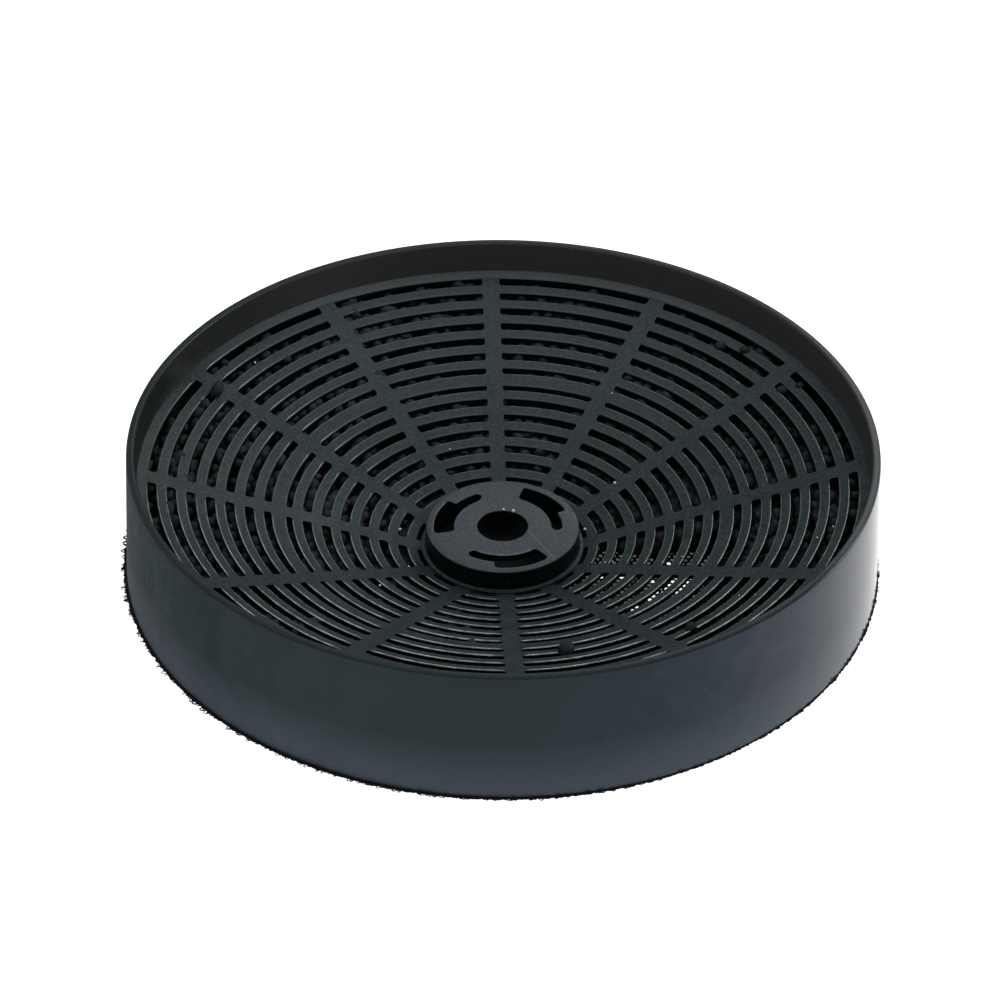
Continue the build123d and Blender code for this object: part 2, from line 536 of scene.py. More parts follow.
def scatter(rng, inner, outer, spacing):
    """Places in a ring that keep their distance, on a shaken triangular grid."""
    places = []
    rows = int(2 * outer / (spacing * ROW_SHARE)) + 1
    for j in range(rows):
        y = -outer + j * spacing * ROW_SHARE
        for i in range(int(2 * outer / spacing) + 1):
            x = -outer + (i + 0.5 * (j % 2)) * spacing
            x += rng.uniform(-SHAKE, SHAKE) * spacing
            shaken_y = y + rng.uniform(-SHAKE, SHAKE) * spacing
            if inner < math.hypot(x, shaken_y) < outer:
                places.append((x, shaken_y))
    return places


def add_lump(vertices, faces, rng, centre, size, fine):
    points, lump_faces = lump(rng, centre, size, fine)
    base = len(vertices)
    vertices += points
    faces += [tuple(base + v for v in f) for f in lump_faces]


def granule_layer(name, rng, material, height, spacing, size, inner, outer):
    """A layer lower in the bed, seen only through gaps in the one above."""
    vertices, faces = [], []
    for x, y in scatter(rng, inner, outer, spacing):
        radius = math.hypot(x, y)
        room = under_z(radius) - FOOT_Z
        grain = min(size * rng.uniform(0.75, 1.25), 0.8 * room)
        centre = Vector((x, y, height(radius, grain, rng)))
        if centre.z - grain * 0.5 < FOOT_Z or in_hollow(centre):
            continue
        add_lump(vertices, faces, rng, centre, grain, False)
    return new_object(name, vertices, faces, material)


def fill_level(x, y):
    """The fill stands higher at the back left, and lower here and there."""
    lean = (0.4 * y - x) / DISH_RADIUS
    return FILL_MEAN + FILL_LEAN * lean + FILL_WAVES * noise.noise(Vector((x, y, 0)) * 42)


def second_height(radius, _grain, rng):
    return under_z(radius) - SECOND_DEPTH - rng.uniform(0, 0.002)


def bottom_height(radius, grain, rng):
    room = under_z(radius) - FOOT_Z - grain
    return FOOT_Z + grain * 0.52 + rng.random() ** 2 * min(0.002, 0.3 * room)


def make_top_layer(name, rng, material, left):
    """The granules that show through the slots, half of the bed in each piece."""
    vertices, faces = [], []
    for x, y in scatter(rng, BED_INNER, DISH_RADIUS - BED_MARGIN, TOP_SPACING):
        radius = math.hypot(x, y)
        room = under_z(radius) - FOOT_Z
        grain = min(GRANULE * rng.uniform(0.7, 1.3), 0.85 * room)
        level = max(0.0, min(1.0, fill_level(x, y)))
        drop = grain * (0.62 - 0.38 * level * rng.uniform(0.6, 1.0)) + (1 - level) * rng.random() * 0.004
        centre = Vector((x, y, max(under_z(radius) - drop, FOOT_Z + grain * 0.5)))
        if in_hollow(centre) or (x < 0) != left:
            continue
        add_lump(vertices, faces, rng, centre, grain, True)
    return new_object(name, vertices, faces, material)


def bank_places(rng):
    """Granules on the slopes round the hollow."""
    places = []
    for _ in range(BANK_GRANULES):
        angle = rng.uniform(HOLLOW_START - 4, HOLLOW_END + 3)
        z = rng.uniform(FOOT_Z + 0.0015, BANK_TOP)
        radius = HOLLOW_FOOT + (z - FOOT_Z) * HOLLOW_SLOPE + rng.uniform(0.001, 0.005)
        places.append(polar(radius, angle, z))
    for _ in range(BANK_SIDE_GRANULES):
        side = rng.choice([HOLLOW_START - rng.uniform(0, 4), HOLLOW_END + rng.uniform(0, 4)])
        radius = rng.uniform(HUB_FLANGE + 0.008, 0.060)
        z = rng.uniform(FOOT_Z + 0.0015, max(FOOT_Z + 0.0016, under_z(radius) - 0.002))
        places.append(polar(radius, side, z))
    return places


def make_bank(rng, material):
    vertices, faces = [], []
    for centre in bank_places(rng):
        radius = math.hypot(centre.x, centre.y)
        grain = GRANULE * rng.uniform(0.7, 1.15)
        centre.z = min(centre.z, under_z(radius) - grain * 0.5)
        if centre.z - grain * 0.45 >= FOOT_Z:
            add_lump(vertices, faces, rng, centre, grain, False)
    return new_object("carbon_bank", vertices, faces, material)


def make_crumbs(rng, material):
    """Fine crumbs where the bed is too thin for whole granules, and on the net in the hollow."""
    vertices, faces = [], []
    for x, y in scatter(rng, HUB_FLANGE + 0.0008, 0.031, CRUMB * 1.5):
        if not in_hollow(Vector((x, y, FOOT_Z))) and rng.random() < 0.7:
            grain = CRUMB * rng.uniform(0.7, 1.6)
            add_lump(vertices, faces, rng, Vector((x, y, FOOT_Z + grain * 0.45)), grain, False)
    for _ in range(60):
        angle = rng.uniform(HOLLOW_START, HOLLOW_END)
        place = polar(rng.uniform(0.024, HOLLOW_FOOT), angle, FOOT_Z + CRUMB * 0.3)
        if not shows_light(place.x, place.y, 0.0012):
            add_lump(vertices, faces, rng, place, CRUMB * rng.uniform(0.5, 1.2), False)
    return new_object("carbon_crumbs", vertices, faces, material)


# Granules that lie on the grille or stick up through it: radius, angle, size, height above the bars
STRAY_GRANULES = [
    (0.0829, 153.9, 0.0044, 0.0001),
    (0.0830, 157.9, 0.0036, -0.0010),
    (0.0869, 147.0, 0.0024, -0.0003),
    (0.0789, 136.4, 0.0027, -0.0009),
    (0.0624, 284.3, 0.0046, 0.0002),
    (0.0708, 309.4, 0.0041, -0.0008),
    (0.0704, 314.1, 0.0036, -0.0012),
    (0.0830, 46.8, 0.0036, -0.0009),
    (0.0852, 42.1, 0.0030, -0.0004),
    (0.0830, 29.4, 0.0035, -0.0009),
    (0.0867, 27.9, 0.0030, -0.0005),
]

# Painted glints, small pale lumps where bright glints show: radius, angle, size
PAINTED_GLINTS = [
    (0.0064, 88.0, 0.0010),
    (0.0065, 66.0, 0.0010),
    (0.0218, 15.8, 0.0008),
    (0.0350, 34.7, 0.0009),
    (0.0262, 173.4, 0.0008),
    (0.0265, 208.2, 0.0006),
    (0.0278, 337.9, 0.0006),
    (0.0298, 338.5, 0.0005),
    (0.0476, 339.8, 0.0005),
    (0.0400, 221.2, 0.0006),
    (0.0869, 147.0, 0.0005),
    (0.0821, 142.6, 0.0006),
    (0.0363, 112.6, 0.0006),
    (0.0923, 78.3, 0.0008),
    (0.0573, 60.3, 0.0005),
    (0.0835, 346.5, 0.0006),
    (0.0804, 343.6, 0.0005),
    (0.0711, 323.6, 0.0006),
    (0.0748, 324.6, 0.0005),
]


def surface_z(radius):
    """Height of the hub's top or of the grille."""
    return dish_z(HUB_RADIUS) + HUB_RISE if radius < HUB_RADIUS else dish_z(radius)


def make_strays(rng, material):
    vertices, faces = [], []
    for radius, angle, size, above in STRAY_GRANULES:
        add_lump(vertices, faces, rng, polar(radius, angle, dish_z(radius) + above), size, True)
    return new_object("carbon_strays", vertices, faces, material)


def make_painted_glints(rng, material):
    vertices, faces = [], []
    for radius, angle, size in PAINTED_GLINTS:
        add_lump(vertices, faces, rng, polar(radius, angle, surface_z(radius) + size * 0.3), size, False)
    return new_object("painted_glints", vertices, faces, material)


def make_core(material):
    """The unseen inside of the heap, a dark ring between the layers, drawn back at the hollow."""
    outer = FOOT_RADIUS - WALL - CORE_MARGIN
    vertices, faces = [], []
    for i in range(CORE_STEPS):
        angle = 360 * i / CORE_STEPS
        foot, top = CORE_INNER_AT_HOLLOW if beside_hollow(angle, CORE_SIDE) else CORE_INNER
        profile = [
            (foot, FOOT_Z + 0.0003),
            (outer, FOOT_Z + 0.0025),
            (outer, under_z(DISH_RADIUS) - 0.006),
            (top, under_z(top) - 0.0045),
        ]
        vertices += [polar(r, angle, z) for r, z in profile]
    for i in range(CORE_STEPS):
        here, after = 4 * i, 4 * ((i + 1) % CORE_STEPS)
        for k in range(4):
            m = (k + 1) % 4
            faces.append((here + k, here + m, after + m, after + k))
    return new_object("carbon_core", vertices, faces, material, smooth=False)


# Net

# Meshes of the net in the hollow left without the painted shade film, so the table shows through: chains
# of points, and their reach
CLEAR_CHAINS = [
    ([(0.0410, -0.0052), (0.0430, -0.0048)], 0.0008),
    ([(0.0455, -0.0055), (0.0467, -0.0057)], 0.0008),
    ([(0.0249, -0.0115), (0.0257, -0.0103)], 0.0008),
    ([(0.0305, -0.0102)], 0.0007),
    ([(0.0379, -0.0125)], 0.0010),
    ([(0.0333, -0.0187)], 0.0008),
    ([(0.0329, -0.0232), (0.0342, -0.0220)], 0.0007),
    ([(0.0362, -0.0199), (0.0396, -0.0162), (0.0420, -0.0128), (0.0443, -0.0103)], 0.0009),
    ([(0.0431, -0.0169), (0.0457, -0.0136), (0.0481, -0.0103)], 0.0008),
]


def distance_to_chain(x, y, chain):
    """Distance from a place to the nearest stretch of a chain of points."""
    place = Vector((x, y))
    nearest = (place - Vector(chain[0])).length
    for a, b in zip(chain, chain[1:]):
        a, b = Vector(a), Vector(b)
        run = b - a
        share = max(0.0, min(1.0, (place - a).dot(run) / run.length_squared))
        nearest = min(nearest, (place - a - run * share).length)
    return nearest


def shows_light(x, y, margin=0.0):
    return any(distance_to_chain(x, y, chain) < reach + margin for chain, reach in CLEAR_CHAINS)


def mesh_filling(x, y):
    """What closes a mesh of the net: 1 for the weld at the rim and for a dark fill of painted shade in
    the middle, 2 for a grey film of painted shade in the hollow, 0 for nothing.
    """
    radius = math.hypot(x, y)
    angle = math.degrees(math.atan2(y, x))
    if HUB_FLANGE + 0.001 < radius < HOLLOW_FOOT + FILM_REACH and beside_hollow(angle, FILM_SIDE):
        return 0 if shows_light(x, y) else 2
    # The middle gets a dark fill of painted shade under the hub; the rim is the weld
    if radius < NET_CLOSED or radius > NET_WELD:
        return 1
    return 0


def make_net(material, net_filling, film):
    """Knitted net: rows of round meshes, cut to a disc with its rim pressed to the casing."""
    hole = (NET_PITCH - NET_THREAD) / 2
    row_step = NET_PITCH * math.sqrt(3) / 2
    vertices, faces, fillings = [], [], []
    index = {}

    def vertex(x, y):
        key = (round(x * 1e7), round(y * 1e7))
        if key not in index:
            wave = 0.00008 * noise.noise(Vector((x, y, 0)) * 90)
            index[key] = len(vertices)
            vertices.append(Vector((x, y, NET_Z + wave)))
        return index[key]

    rows = int(NET_RADIUS / row_step) + 1
    corner = NET_PITCH / math.sqrt(3)
    for j in range(-rows, rows + 1):
        cy = j * row_step
        for i in range(-rows, rows + 1):
            cx = (i + 0.5 * (j % 2)) * NET_PITCH
            if math.hypot(cx, cy) > EDGE_BAND - corner:
                continue
            outer, inner = [], []
            for k in range(6):
                turn = math.radians(60 * k + 30)
                outer.append(vertex(cx + corner * math.cos(turn), cy + corner * math.sin(turn)))
                inner.append(vertex(cx + hole * math.cos(turn), cy + hole * math.sin(turn)))
            for k in range(6):
                m = (k + 1) % 6
                faces.append((outer[k], outer[m], inner[m], inner[k]))
                fillings.append(0)
            filling = mesh_filling(cx, cy)
            if filling:
                faces.append(tuple(inner))
                fillings.append(filling)
    net = new_object("net", vertices, faces, material, smooth=False)
    net.data.materials.append(net_filling)
    net.data.materials.append(film)
    net.data.polygons.foreach_set("material_index", fillings)
    return net


# The net's cut edge

def edge_swell(angle):
    """The edge stands out more on the left than on the right: 0 to 1."""
    return max(0.0, math.cos(math.radians(angle - 205))) ** 0.5


def make_edge(rng, material):
    """The ragged band that the cut and melted threads form under the side wall."""
    vertices, faces = [], []
    for i in range(EDGE_STEPS):
        angle = 360 * i / EDGE_STEPS
        swell = edge_swell(angle)
        rag = rng.random() ** 2 * (EDGE_RAG + 0.0002 * swell)
        rag += EDGE_WAVE * noise.noise(Vector((i * 0.19, 3, 0)))
        outer = EDGE_BAND + EDGE_SWELL * swell + rag
        top = FOOT_Z - 0.00005 - rng.random() * 0.0001
        low = 0.00006 + rng.random() * 0.0001
        profile = [(FOOT_RADIUS - 0.0012, top), (outer - 0.0001, top), (outer, (top + low) / 2),
                   (outer - 0.0001, low), (FOOT_RADIUS - 0.0012, low)]
        vertices += [polar(r, angle, z) for r, z in profile]
    for i in range(EDGE_STEPS):
        a, b = 5 * i, 5 * ((i + 1) % EDGE_STEPS)
        for k in range(5):
            m = (k + 1) % 5
            faces.append((a + k, b + k, b + m, a + m))
    return new_object("net_edge", vertices, faces, material)


def make_fringe(rng, material):
    """Loops and cut ends of thread that stick out of the edge, most of them on the left."""
    vertices, faces = [], []
    for _ in range(FRINGE_TRIES):
        angle = rng.uniform(0, 360)
        swell = edge_swell(angle)
        if rng.random() > 0.3 + 0.7 * swell:
            continue
        start = EDGE_BAND - 0.0002 + EDGE_SWELL * swell
        reach = rng.uniform(0.0003, 0.0006 + 0.0008 * swell)
        spread = rng.uniform(0.3, 1.1)
        lift = rng.uniform(0.0, 0.0005)
        thread_loop(vertices, faces, angle, start, spread, reach, lift, rng.uniform(0.00008, 0.00014))
    return new_object("net_fringe", vertices, faces, material)


def thread_loop(vertices, faces, angle, start, spread, reach, lift, thick):
    """A bent thread: out of the weld, round and back, with a square section."""
    path = []
    for step in range(7):
        share = step / 6
        bow = math.sin(math.pi * share)
        path.append(polar(start + reach * bow, angle + spread * (share - 0.5), 0.0002 + lift * bow))
    sides = 4
    base = len(vertices)
    for k, point in enumerate(path):
        ahead = path[min(k + 1, len(path) - 1)] - path[max(k - 1, 0)]
        side = ahead.cross(Vector((0, 0, 1))).normalized()
        up = side.cross(ahead).normalized()
        for s in range(sides):
            turn = 2 * math.pi * s / sides
            vertices.append(point + (side * math.cos(turn) + up * math.sin(turn)) * thick)
    for k in range(len(path) - 1):
        for s in range(sides):
            a = base + k * sides + s
            b = base + k * sides + (s + 1) % sides
            faces.append((a, b, b + sides, a + sides))


# Colours, with the darker and the paler one where a noise runs between two
TEAL = ((0.004, 0.012, 0.013), (0.008, 0.018, 0.021))
# Painted light on the right of the outer wall: lighter and bluer there
RIGHT_WALL_PAINTED_LIGHT = ((0.006, 0.012, 0.023), (0.018, 0.024, 0.040))
SLOT_WALL = (0.003, 0.005, 0.005)
# Painted light on the rim's inner wall, far paler than the bare plastic
INNER_WALL_PAINTED_LIGHT = (0.066, 0.066, 0.064)
SETTLED_DUST = ((0.014, 0.024, 0.026), (0.025, 0.038, 0.042))
# Painted light from the back on what faces up
BACK_PAINTED_LIGHT = (0.040, 0.053, 0.058)
# Painted light from the back on the ledge at the far back
LEDGE_BACK_PAINTED_LIGHT = (0.090, 0.104, 0.114)
HUB_TOP = ((0.034, 0.043, 0.053), (0.046, 0.056, 0.067))
RIM_LAND_DARK = (0.014, 0.020, 0.021)
# Painted highlight on the rim land at the far right
RIM_LAND_PAINTED_HIGHLIGHT = (0.075, 0.078, 0.082)
GRAIN_DUST = (0.085, 0.095, 0.105)
FLOW_LINE = (0.11, 0.11, 0.11)
# Painted light on the outer wall, growing toward the foot
FOOT_PAINTED_LIGHT = (0.044, 0.055, 0.074)
# Painted sheen on the outer wall at the far left, broken up by a noise
LEFT_WALL_PAINTED_SHEEN = (0.09, 0.105, 0.115)
SPECKS = (0.13, 0.14, 0.14)
PITS = (0.006, 0.007, 0.008)
# Rounded edges: a painted highlight, dim at the back and bright at the front
ARRIS_HIGHLIGHT_AT_BACK = (0.080, 0.094, 0.099)
ARRIS_HIGHLIGHT_AT_FRONT = (0.60, 0.64, 0.65)
CARBON = ((0.002, 0.003, 0.004), (0.013, 0.016, 0.018))
# Dust on the granules, with painted light toward the back and painted shade toward the left
CARBON_DUST_AND_PAINTED_LIGHT = (0.042, 0.049, 0.052)
THREAD = ((0.003, 0.003, 0.003), (0.014, 0.014, 0.015))
# The weld at the rim, and painted shade where a dark fill closes the middle of the net
CAKED_DUST_AND_PAINTED_SHADE = ((0.008, 0.008, 0.008), (0.020, 0.020, 0.020))
# Painted shade: a grey film standing in for the shaded table seen through the net
PAINTED_SHADE_FILM = ((0.02, 0.022, 0.025), (0.045, 0.05, 0.056))


# Materials

def new_material(name, color, roughness):
    material = bpy.data.materials.new(name)
    material.use_nodes = True
    shader = material.node_tree.nodes["Principled BSDF"]
    shader.inputs["Base Color"].default_value = (*color, 1)
    shader.inputs["Roughness"].default_value = roughness
    return material, material.node_tree, shader


def node(tree, kind, **values):
    made = tree.nodes.new(kind)
    for key, value in values.items():
        if hasattr(made, key):
            setattr(made, key, value)
        else:
            made.inputs[key.replace("_", " ")].default_value = value
    return made


def ramp(tree, source, stops):
    made = tree.nodes.new("ShaderNodeValToRGB")
    elements = made.color_ramp.elements
    while len(elements) < len(stops):
        elements.new(0.5)
    for element, (place, value) in zip(elements, stops):
        element.position = place
        element.color = value if len(value) == 4 else (*value, 1)
    tree.links.new(source, made.inputs["Fac"])
    return made.outputs["Color"]


def grey(value):
    return (value, value, value)


def texture(tree, place, kind, **values):
    made = node(tree, kind, **values)
    tree.links.new(place, made.inputs["Vector"])
    return made


def blend_colors(tree, factor, first, second):
    """Mixes two colours, each a socket or a fixed colour."""
    made = node(tree, "ShaderNodeMix", data_type="RGBA")
    tree.links.new(factor, made.inputs["Factor"])
    for slot, value in ((6, first), (7, second)):
        if isinstance(value, tuple):
            made.inputs[slot].default_value = (*value, 1)
        else:
            tree.links.new(value, made.inputs[slot])
    return made.outputs[2]


def scaled(tree, source, low, high, to_low, to_high):
    made = node(tree, "ShaderNodeMapRange", From_Min=low, From_Max=high, To_Min=to_low, To_Max=to_high)
    tree.links.new(source, made.inputs["Value"])
    return made.outputs["Result"]


def maths(tree, operation, *values):
    """One maths node, each value a socket or a number."""
    made = node(tree, "ShaderNodeMath", operation=operation)
    for slot, value in zip(made.inputs, values):
        if isinstance(value, float):
            slot.default_value = value
        else:
            tree.links.new(value, slot)
    return made.outputs[0]


def product(tree, first, *others):
    for other in others:
        first = maths(tree, "MULTIPLY", first, other)
    return first


def object_place(tree):
    return tree.nodes.new("ShaderNodeTexCoord").outputs["Object"]


def axes_of(tree, source):
    """The X, Y and Z of a vector."""
    made = tree.nodes.new("ShaderNodeSeparateXYZ")
    tree.links.new(source, made.inputs[0])
    return made.outputs


def facing_up(tree, low, high):
    """A mask of what faces up, from the surface's own direction."""
    normal = tree.nodes.new("ShaderNodeTexCoord").outputs["Normal"]
    return scaled(tree, axes_of(tree, normal)["Z"], low, high, 0.0, 1.0)


def add_bump(tree, shader, height, strength, distance):
    bump = node(tree, "ShaderNodeBump", Strength=strength, Distance=distance)
    tree.links.new(height, bump.inputs["Height"])
    tree.links.new(bump.outputs["Normal"], shader.inputs["Normal"])


def distance_from_axis(tree, place):
    flat = node(tree, "ShaderNodeVectorMath", operation="MULTIPLY")
    flat.inputs[1].default_value = (1, 1, 0)
    tree.links.new(place, flat.inputs[0])
    reach = node(tree, "ShaderNodeVectorMath", operation="LENGTH")
    tree.links.new(flat.outputs[0], reach.inputs[0])
    return reach.outputs["Value"]


def flow_line(tree, place):
    """A thin straight weld line across the hub's top, right of the bore."""
    across = node(tree, "ShaderNodeVectorMath", operation="DOT_PRODUCT")
    across.inputs[1].default_value = (math.cos(FLOW_LINE_TURN), math.sin(FLOW_LINE_TURN), 0)
    tree.links.new(place, across.inputs[0])
    offset = maths(tree, "SUBTRACT", across.outputs["Value"], FLOW_LINE_OFFSET)
    line = scaled(tree, maths(tree, "ABSOLUTE", offset), 0.00006, 0.0002, 1.0, 0.0)
    front = scaled(tree, axes_of(tree, place)["Y"], -0.0005, -0.001, 0.0, 1.0)
    return product(tree, line, front)


def arris_highlight_material():
    """The rounded edges, paler toward the front: a painted highlight along the arrises, broken up by a
    noise.
    """
    material, tree, shader = new_material("painted arris highlight", ARRIS_HIGHLIGHT_AT_BACK, 0.25)
    place = object_place(tree)
    highlight_breakup = texture(tree, place, "ShaderNodeTexNoise", Scale=320.0, Detail=4.0, Roughness=0.7)
    spread = ramp(tree, highlight_breakup.outputs["Fac"], [(0.38, grey(0.25)), (0.62, grey(1.0))])
    front = scaled(tree, axes_of(tree, place)["Y"], 0.006, -0.050, 0.0, 1.0)
    base = blend_colors(tree, product(tree, front, spread), ARRIS_HIGHLIGHT_AT_BACK, ARRIS_HIGHLIGHT_AT_FRONT)
    tree.links.new(base, shader.inputs["Base Color"])
    shader.inputs["Specular IOR Level"].default_value = 0.3
    return material


def plastic_noises(tree, place):
    """Large clouds, smears, fine grain, and the spots of specks and pits."""
    def noise_of(scale, detail, roughness):
        made = texture(tree, place, "ShaderNodeTexNoise", Scale=scale, Detail=detail, Roughness=roughness)
        return made.outputs["Fac"]

    def spots(scale):
        return texture(tree, place, "ShaderNodeTexVoronoi", Scale=scale).outputs["Distance"]

    return SimpleNamespace(clouds=noise_of(34.0, 5.0, 0.6), smears=noise_of(120.0, 6.0, 0.75),
                           grain=noise_of(1100.0, 3.0, 0.7), specks=spots(380.0), pits=spots(1300.0))


def plastic_masks(tree, place):
    """Masks from 0 to 1 of the areas of the moulding."""
    axes = axes_of(tree, place)
    reach = distance_from_axis(tree, place)

    def mask(source, low, high, least=0.0, most=1.0):
        return scaled(tree, source, low, high, least, most)

    rim_inner = RIM_RADIUS - RIM_LAND
    ledge_inner = DISH_RADIUS - SLOT_MARGIN
    above_grille = mask(axes["Z"], HEIGHT - DISH_DEPTH - 0.001, HEIGHT - DISH_DEPTH)
    inside_rim = mask(reach, rim_inner + 0.0004, rim_inner + 0.0002)
    # Painted shade toward the left: a share that falls to 0.25 at the far left
    from_left = mask(axes["X"], -0.088, -0.045, 0.25, 1.0)
    return SimpleNamespace(
        up=facing_up(tree, 0.4, 0.9),
        from_left=from_left,
        inner_wall=product(tree, above_grille, inside_rim, from_left),
        outside=mask(reach, RIM_RADIUS - 0.0006, RIM_RADIUS - 0.0001),
        hub=mask(reach, HUB_RADIUS, HUB_RADIUS - 0.0002),
        ledge=mask(reach, ledge_inner, ledge_inner + 0.0004),
        land=mask(reach, rim_inner, rim_inner + 0.0003),
        foot=mask(axes["Z"], 0.016, FOOT_Z),
        right=mask(axes["X"], 0.005, 0.060),
        far_right=mask(axes["X"], 0.075, 0.092),
        far_left=mask(axes["X"], -0.07, -0.093, 0.0, 0.35),
        back=mask(axes["Y"], 0.02, 0.08, 0.0, 0.7),
        far_back=mask(axes["Y"], 0.04, 0.08),
        glossy_right=mask(axes["X"], 0.02, 0.08, 0.0, -0.25),
        dull_left=mask(axes["X"], -0.02, -0.088, 0.0, 0.62),
    )


def plastic_color(tree, place, noises, masks):
    """The bare moulding, then layer on layer of dust, specks and pits, and of painted light and shade:
    paler toward the back, the right and the foot, darker toward the left, with a painted highlight on the
    right rim land and a painted sheen on the far-left wall.
    """
    up, outside = masks.up, masks.outside
    teal = ramp(tree, noises.clouds, [(0.3, TEAL[0]), (0.7, TEAL[1])])
    right_wall_light = ramp(tree, noises.smears, [(0.38, RIGHT_WALL_PAINTED_LIGHT[0]), (0.64, RIGHT_WALL_PAINTED_LIGHT[1])])
    settled = ramp(tree, noises.smears, [(0.36, SETTLED_DUST[0]), (0.66, SETTLED_DUST[1])])
    hub_top = ramp(tree, noises.grain, [(0.35, HUB_TOP[0]), (0.65, HUB_TOP[1])])
    dust = ramp(tree, noises.grain, [(0.46, grey(0.0)), (0.70, grey(0.45))])
    sheen_breakup = ramp(tree, noises.grain, [(0.40, grey(0.3)), (0.65, grey(1.0))])
    specks = ramp(tree, noises.specks, [(0.05, grey(0.8)), (0.09, grey(0.0))])
    pits = ramp(tree, noises.pits, [(0.08, grey(0.8)), (0.16, grey(0.0))])
    patches = scaled(tree, noises.clouds, 0.52, 0.60, 0.0, 1.0)
    few_outside = scaled(tree, outside, 0.0, 1.0, 1.0, 0.12)
    speckled = maths(tree, "MAXIMUM", product(tree, patches, few_outside), masks.inner_wall)
    # Painted shade: the settled dust is thinned toward the left
    less_left = scaled(tree, masks.from_left, 0.25, 1.0, 0.45, 1.0)
    off_land = scaled(tree, masks.land, 0.0, 1.0, 1.0, 0.15)

    # The rim's inner wall gets painted light, with painted shade toward the left
    inside = blend_colors(tree, masks.inner_wall, SLOT_WALL, INNER_WALL_PAINTED_LIGHT)
    # The outer wall is paler and bluer toward the right: painted light
    color = blend_colors(tree, outside, inside, blend_colors(tree, masks.right, teal, right_wall_light))
    layers = [
        ((up, less_left), settled),
        # Painted light from the back, on what faces up and on the ledge at the far back
        ((up, masks.back), BACK_PAINTED_LIGHT),
        ((up, masks.ledge, masks.far_back), LEDGE_BACK_PAINTED_LIGHT),
        ((up, masks.hub), hub_top),
        ((up, masks.land), RIM_LAND_DARK),
        # Painted highlight on the rim land at the far right
        ((up, masks.land, masks.far_right), RIM_LAND_PAINTED_HIGHLIGHT),
        ((up, dust, off_land), GRAIN_DUST),
        ((up, masks.hub, flow_line(tree, place)), FLOW_LINE),
        # Painted light on the outer wall toward the foot
        ((outside, masks.foot), FOOT_PAINTED_LIGHT),
        # Painted sheen on the outer wall at the far left
        ((outside, masks.far_left, sheen_breakup), LEFT_WALL_PAINTED_SHEEN),
        ((specks, speckled), SPECKS),
        ((pits,), PITS),
    ]
    for factors, layer in layers:
        color = blend_colors(tree, product(tree, *factors), color, layer)
    return color


def plastic_roughness(tree, noises, masks):
    """Satin all over, and on the outer wall glossier to the right and duller to the left."""
    smooth = scaled(tree, noises.clouds, 0.3, 0.7, 0.26, 0.36)
    streaks = scaled(tree, noises.smears, 0.4, 0.7, -0.06, 0.08)
    sides = maths(tree, "ADD", masks.dull_left, masks.glossy_right)
    wall = maths(tree, "ADD", sides, streaks)
    return maths(tree, "MULTIPLY_ADD", wall, masks.outside, smooth)


def plastic_material():
    """Black moulded plastic: dust on what faces up, painted light toward the foot, the back and the
    right, painted shade toward the left, fine specks.
    """
    material, tree, shader = new_material("moulded plastic", SLOT_WALL, 0.3)
    place = object_place(tree)
    noises = plastic_noises(tree, place)
    masks = plastic_masks(tree, place)
    tree.links.new(plastic_color(tree, place, noises, masks), shader.inputs["Base Color"])
    tree.links.new(plastic_roughness(tree, noises, masks), shader.inputs["Roughness"])
    add_bump(tree, shader, noises.grain, 0.30, 0.0001)
    shader.inputs["Specular IOR Level"].default_value = 0.19
    shader.inputs["Specular Tint"].default_value = (0.78, 0.94, 1.0, 1)
    return material


def carbon_material():
    """Activated carbon: dark and rough with fine pores, paler where dust lies on top, with painted light
    toward the back and painted shade toward the left.
    """
    material, tree, shader = new_material("activated carbon", CARBON[0], 0.62)
    place = object_place(tree)
    axes = axes_of(tree, place)
    pores = texture(tree, place, "ShaderNodeTexNoise", Scale=1500.0, Detail=4.0, Roughness=0.65)
    patch = texture(tree, place, "ShaderNodeTexNoise", Scale=170.0, Detail=2.0)
    base = ramp(tree, patch.outputs["Fac"], [(0.32, CARBON[0]), (0.70, CARBON[1])])
    # Painted light toward the back and painted shade toward the left, over the dust on top
    back = scaled(tree, axes["Y"], -0.01, 0.05, 0.20, 0.50)
    from_left = scaled(tree, axes["X"], -0.085, -0.010, 0.25, 1.0)
    dust_and_painted_light = product(tree, facing_up(tree, 0.3, 1.0), back, from_left)
    tree.links.new(blend_colors(tree, dust_and_painted_light, base, CARBON_DUST_AND_PAINTED_LIGHT), shader.inputs["Base Color"])
    gloss = scaled(tree, pores.outputs["Fac"], 0.35, 0.65, 0.42, 0.85)
    tree.links.new(gloss, shader.inputs["Roughness"])
    shader.inputs["Specular IOR Level"].default_value = 0.22
    add_bump(tree, shader, pores.outputs["Fac"], 0.7, 0.0002)
    return material


def glint_material():
    """Pale glossy lumps with a fine sparkle, standing in for glints: a painted highlight."""
    material, tree, shader = new_material("painted glint", grey(0.8), 0.3)
    facets = texture(tree, object_place(tree), "ShaderNodeTexVoronoi", Scale=3000.0)
    base = ramp(tree, facets.outputs["Distance"], [(0.2, grey(0.9)), (0.8, grey(0.7))])
    tree.links.new(base, shader.inputs["Base Color"])
    return material


def thread_material(name, low, high):
    """Twisted black thread with a soft sheen."""
    material, tree, shader = new_material(name, low, 0.6)
    twist = texture(tree, object_place(tree), "ShaderNodeTexNoise", Scale=2600.0, Detail=2.0)
    base = ramp(tree, twist.outputs["Fac"], [(0.35, low), (0.65, high)])
    tree.links.new(base, shader.inputs["Base Color"])
    add_bump(tree, shader, twist.outputs["Fac"], 0.6, 0.0001)
    shader.inputs["Specular IOR Level"].default_value = 0.1
    return material


